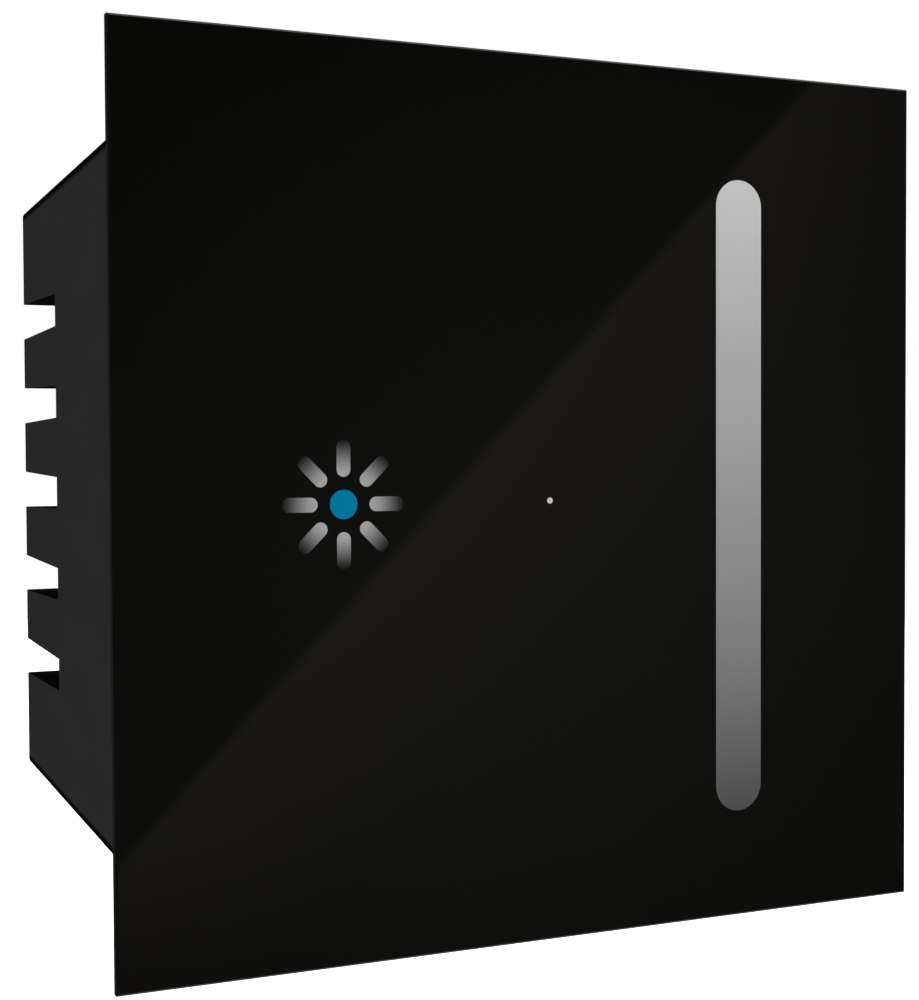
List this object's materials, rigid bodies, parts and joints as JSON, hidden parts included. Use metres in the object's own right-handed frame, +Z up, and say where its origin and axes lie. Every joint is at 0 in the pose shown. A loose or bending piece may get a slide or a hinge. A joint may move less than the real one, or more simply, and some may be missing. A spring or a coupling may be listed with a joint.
{
  "type": "smart dimmer switch",
  "caption": "Flush wall dimmer: square black glass touch front with a sun mark and a grey slider bar, on a vented moulded housing with clamp terminals at the rear.",
  "frame": {"origin": "centre of the wall plane, on the rear face of the steel support frame", "axes": "+X to the right of someone facing the glass, +Y into the wall, +Z up"},
  "size_m": [0.086, 0.0535, 0.086],
  "materials": {
    "black_glass": "back-painted float glass, polished",
    "grey_light_guide": "frosted acrylic, flush with the glass",
    "blue_light_guide": "tinted acrylic, flush with the glass",
    "white_light_guide": "frosted acrylic, flush with the glass",
    "foam_tape": "double-sided foam tape",
    "moulded_black": "moulded, fine spark-eroded texture",
    "moulded_grey": "moulded, satin",
    "terminal_green": "moulded polyamide, satin",
    "board_laminate": "glass-epoxy laminate with solder mask",
    "diode_white": "moulded package",
    "chip_epoxy": "moulded epoxy",
    "pin_gold": "gold flash over nickel",
    "zinc_steel": "pressed and zinc plated",
    "tin_plate": "drawn tinplate",
    "screw_steel": "zinc plated",
    "tinned_brass": "stamped",
    "ferrite": "sintered ferrite",
    "winding_tape": "polyester tape over enamelled wire",
    "film_capacitor_box": "potted box",
    "capacitor_sleeve": "shrink sleeve over aluminium",
    "enamelled_copper": "enamelled wire on a coated ring",
    "fuse_cap": "moulded cap",
    "disc_coating": "dipped epoxy",
    "extruded_aluminium": "extruded, natural anodised"
  },
  "bodies": {
    "housing": {"support_frame": "zinc_steel", "housing_cover": "moulded_black", "housing_screws": "screw_steel", "rear_housing": "moulded_black", "control_board": "board_laminate", "socket_header": "moulded_grey", "radio_shield": "tin_plate", "link_spacer": "moulded_grey", "link_pins": "pin_gold", "power_board": "board_laminate", "board_screws": "screw_steel", "transformer_core": "ferrite", "transformer_coil": "winding_tape", "filter_capacitor": "film_capacitor_box", "storage_capacitors": "capacitor_sleeve", "mains_choke": "enamelled_copper", "mains_fuse": "fuse_cap", "surge_absorber": "disc_coating", "heat_sink": "extruded_aluminium", "power_transistors": "chip_epoxy", "terminal_block": "terminal_green", "terminal_bars": "tinned_brass"},
    "front_module": {"front_glass": "black_glass", "bonding_tape": "foam_tape", "slider_light_guide": "grey_light_guide", "ray_light_guide": "grey_light_guide", "centre_lens": "blue_light_guide", "status_light_pipe": "white_light_guide", "front_carrier": "moulded_black", "touch_board": "board_laminate", "board_leds": "diode_white", "touch_controller": "chip_epoxy", "header_base": "moulded_grey", "header_pins": "pin_gold"},
    "screw_1": {"terminal_screw_1": "screw_steel"},
    "cage_1": {"terminal_cage_1": "zinc_steel"},
    "screw_2": {"terminal_screw_2": "screw_steel"},
    "cage_2": {"terminal_cage_2": "zinc_steel"},
    "screw_3": {"terminal_screw_3": "screw_steel"},
    "cage_3": {"terminal_cage_3": "zinc_steel"},
    "screw_4": {"terminal_screw_4": "screw_steel"},
    "cage_4": {"terminal_cage_4": "zinc_steel"}
  },
  "joints": [
    {"name": "front_pull", "type": "slide", "parent": "housing", "child": "front_module", "axis": [0, -1, 0], "range_m": [0, 0.012]},
    {"name": "screw_1_turn", "type": "hinge", "parent": "housing", "child": "screw_1", "pos_m": [-0.015, 0.0441, -0.02356], "axis": [0, -1, 0], "range_deg": [0, 1800]},
    {"name": "cage_1_lift", "type": "slide", "parent": "housing", "child": "cage_1", "axis": [0, 1, 0], "range_m": [0, 0.0035]},
    {"name": "screw_2_turn", "type": "hinge", "parent": "housing", "child": "screw_2", "pos_m": [-0.005, 0.0441, -0.02356], "axis": [0, -1, 0], "range_deg": [0, 1800]},
    {"name": "cage_2_lift", "type": "slide", "parent": "housing", "child": "cage_2", "axis": [0, 1, 0], "range_m": [0, 0.0035]},
    {"name": "screw_3_turn", "type": "hinge", "parent": "housing", "child": "screw_3", "pos_m": [0.005, 0.0441, -0.02356], "axis": [0, -1, 0], "range_deg": [0, 1800]},
    {"name": "cage_3_lift", "type": "slide", "parent": "housing", "child": "cage_3", "axis": [0, 1, 0], "range_m": [0, 0.0035]},
    {"name": "screw_4_turn", "type": "hinge", "parent": "housing", "child": "screw_4", "pos_m": [0.015, 0.0441, -0.02356], "axis": [0, -1, 0], "range_deg": [0, 1800]},
    {"name": "cage_4_lift", "type": "slide", "parent": "housing", "child": "cage_4", "axis": [0, 1, 0], "range_m": [0, 0.0035]}
  ],
  "couplings": [
    {"joint": "screw_1_turn", "follows": "cage_1_lift", "rad_per_m": 8976},
    {"joint": "screw_2_turn", "follows": "cage_2_lift", "rad_per_m": 8976},
    {"joint": "screw_3_turn", "follows": "cage_3_lift", "rad_per_m": 8976},
    {"joint": "screw_4_turn", "follows": "cage_4_lift", "rad_per_m": 8976}
  ]
}
